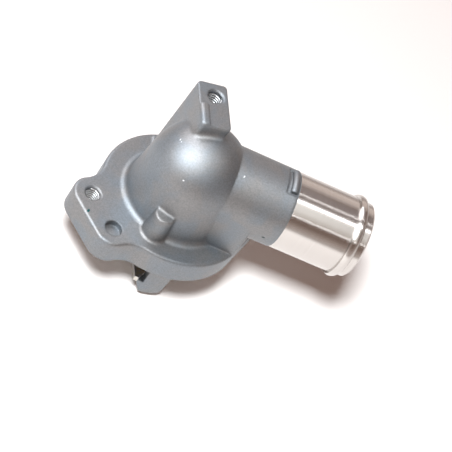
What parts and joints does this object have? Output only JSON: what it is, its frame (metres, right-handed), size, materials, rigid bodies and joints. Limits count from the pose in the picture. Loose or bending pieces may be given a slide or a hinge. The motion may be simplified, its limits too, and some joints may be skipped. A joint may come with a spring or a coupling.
{
  "type": "thermostat housing",
  "caption": "Cast coolant outlet housing with a domed body, a machined hose neck and a wax valve held between two legs under its flange.",
  "frame": {"origin": "centre of the flange's mating face, on the valve's axis, midway between the two fixing holes", "axes": "+Z from the mating face up through the dome, +X along the hose neck towards its open end, +Y towards the bracket lug"},
  "size_m": [0.1268, 0.0757, 0.0945],
  "materials": {
    "cast_aluminium": "matt, as cast, with the spigot, lug top and end turned bright",
    "zinc_plated_steel": "pressed and plated",
    "spring_steel": "drawn wire",
    "stainless_steel": "ground and polished",
    "turned_brass": "turned",
    "black_rubber": "moulded",
    "wax": "cast, copper filled"
  },
  "bodies": {
    "housing": {"housing_casting": "cast_aluminium", "flange_seal_ring": "black_rubber", "crossbar": "zinc_plated_steel", "main_spring": "spring_steel", "piston_rod": "stainless_steel"},
    "valve": {"element_guide": "turned_brass", "element_case": "turned_brass", "rubber_boot": "black_rubber", "wax_charge": "wax", "valve_plate": "zinc_plated_steel", "valve_seal": "black_rubber", "plate_circlip": "spring_steel", "bypass_spring": "spring_steel", "bypass_clip": "spring_steel"},
    "bypass": {"bypass_valve": "zinc_plated_steel"},
    "bleed": {"bleed_pin": "turned_brass"}
  },
  "joints": [
    {"name": "valve_slide", "type": "slide", "parent": "housing", "child": "valve", "axis": [0, 0, -1], "range_m": [0, 0.008], "stiffness_N_per_m": 2500, "springref_m": -0.015, "deforming": ["main_spring"]},
    {"name": "bypass_slide", "type": "slide", "parent": "valve", "child": "bypass", "axis": [0, 0, 1], "range_m": [0, 0.003], "stiffness_N_per_m": 500, "springref_m": -0.006, "deforming": ["bypass_spring"]},
    {"name": "bleed_pin_slide", "type": "slide", "parent": "valve", "child": "bleed", "axis": [0, 0, 1], "range_m": [0, 0.0012]}
  ]
}
